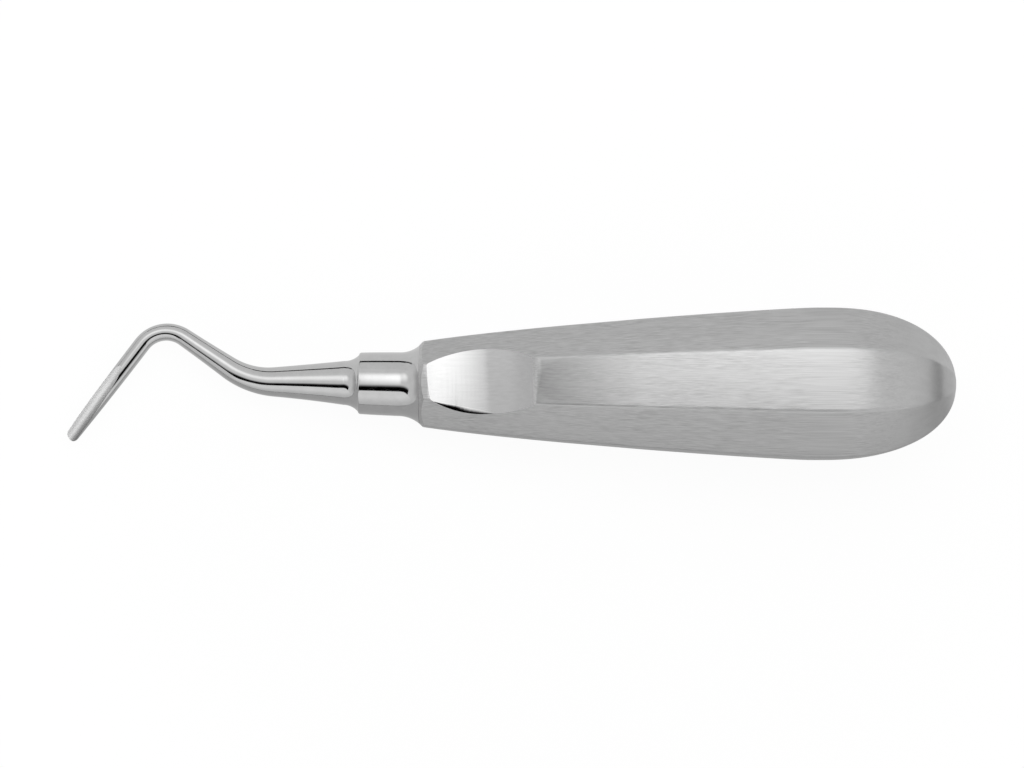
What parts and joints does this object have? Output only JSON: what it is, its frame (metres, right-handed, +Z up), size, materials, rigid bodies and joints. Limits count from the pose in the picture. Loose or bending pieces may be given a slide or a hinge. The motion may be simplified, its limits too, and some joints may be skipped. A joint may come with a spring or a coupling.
{
  "type": "dental root elevator",
  "caption": "Root elevator with a hollow octagonal pear-shaped handle, a thumb rest, a turned collar and a bent shank ending in a gouge tip.",
  "frame": {"origin": "centre of the small flat on the back of the handle that the instrument rests on, below its centre of mass", "axes": "+X from the tip towards the butt along the table, +Y to the side that the shank first bends to, +Z up out of the face with the thumb rest"},
  "size_m": [0.1595, 0.027, 0.028],
  "materials": {
    "satin_handle": "stainless steel brushed lengthwise to a satin, with a half-polished thumb rest",
    "polished_end": "stainless steel polished to a mirror"
  },
  "bodies": {
    "root": {"handle": "satin_handle", "working_end": "polished_end"}
  },
  "joints": []
}
